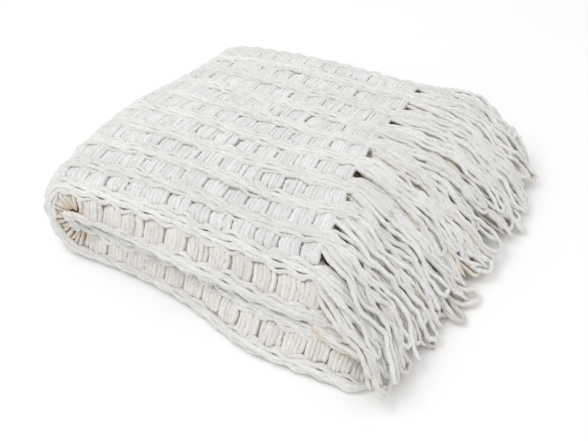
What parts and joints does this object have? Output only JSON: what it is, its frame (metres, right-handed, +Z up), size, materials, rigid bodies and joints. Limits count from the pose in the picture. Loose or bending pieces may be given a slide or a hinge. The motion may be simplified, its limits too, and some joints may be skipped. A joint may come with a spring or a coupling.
{
  "type": "chenille knit throw",
  "caption": "Chunky chenille throw folded into a pile, with rows of rib blocks between smooth rows and a long yarn fringe draped over one end.",
  "frame": {"origin": "centre of the bounding box on the surface that the throw rests on", "axes": "+X along the folded length towards the fringe, +Y from the front edge to the back, +Z up"},
  "size_m": [0.5472, 0.47, 0.1176],
  "materials": {
    "folded_throw": "soft off-white chenille, matt and velvety",
    "upper_fringe": "soft off-white chenille yarn, matt and velvety",
    "lower_fringe": "soft off-white chenille yarn, matt and velvety"
  },
  "bodies": {
    "root": {"folded_throw": "folded_throw", "upper_fringe": "upper_fringe", "lower_fringe": "lower_fringe"}
  },
  "joints": []
}
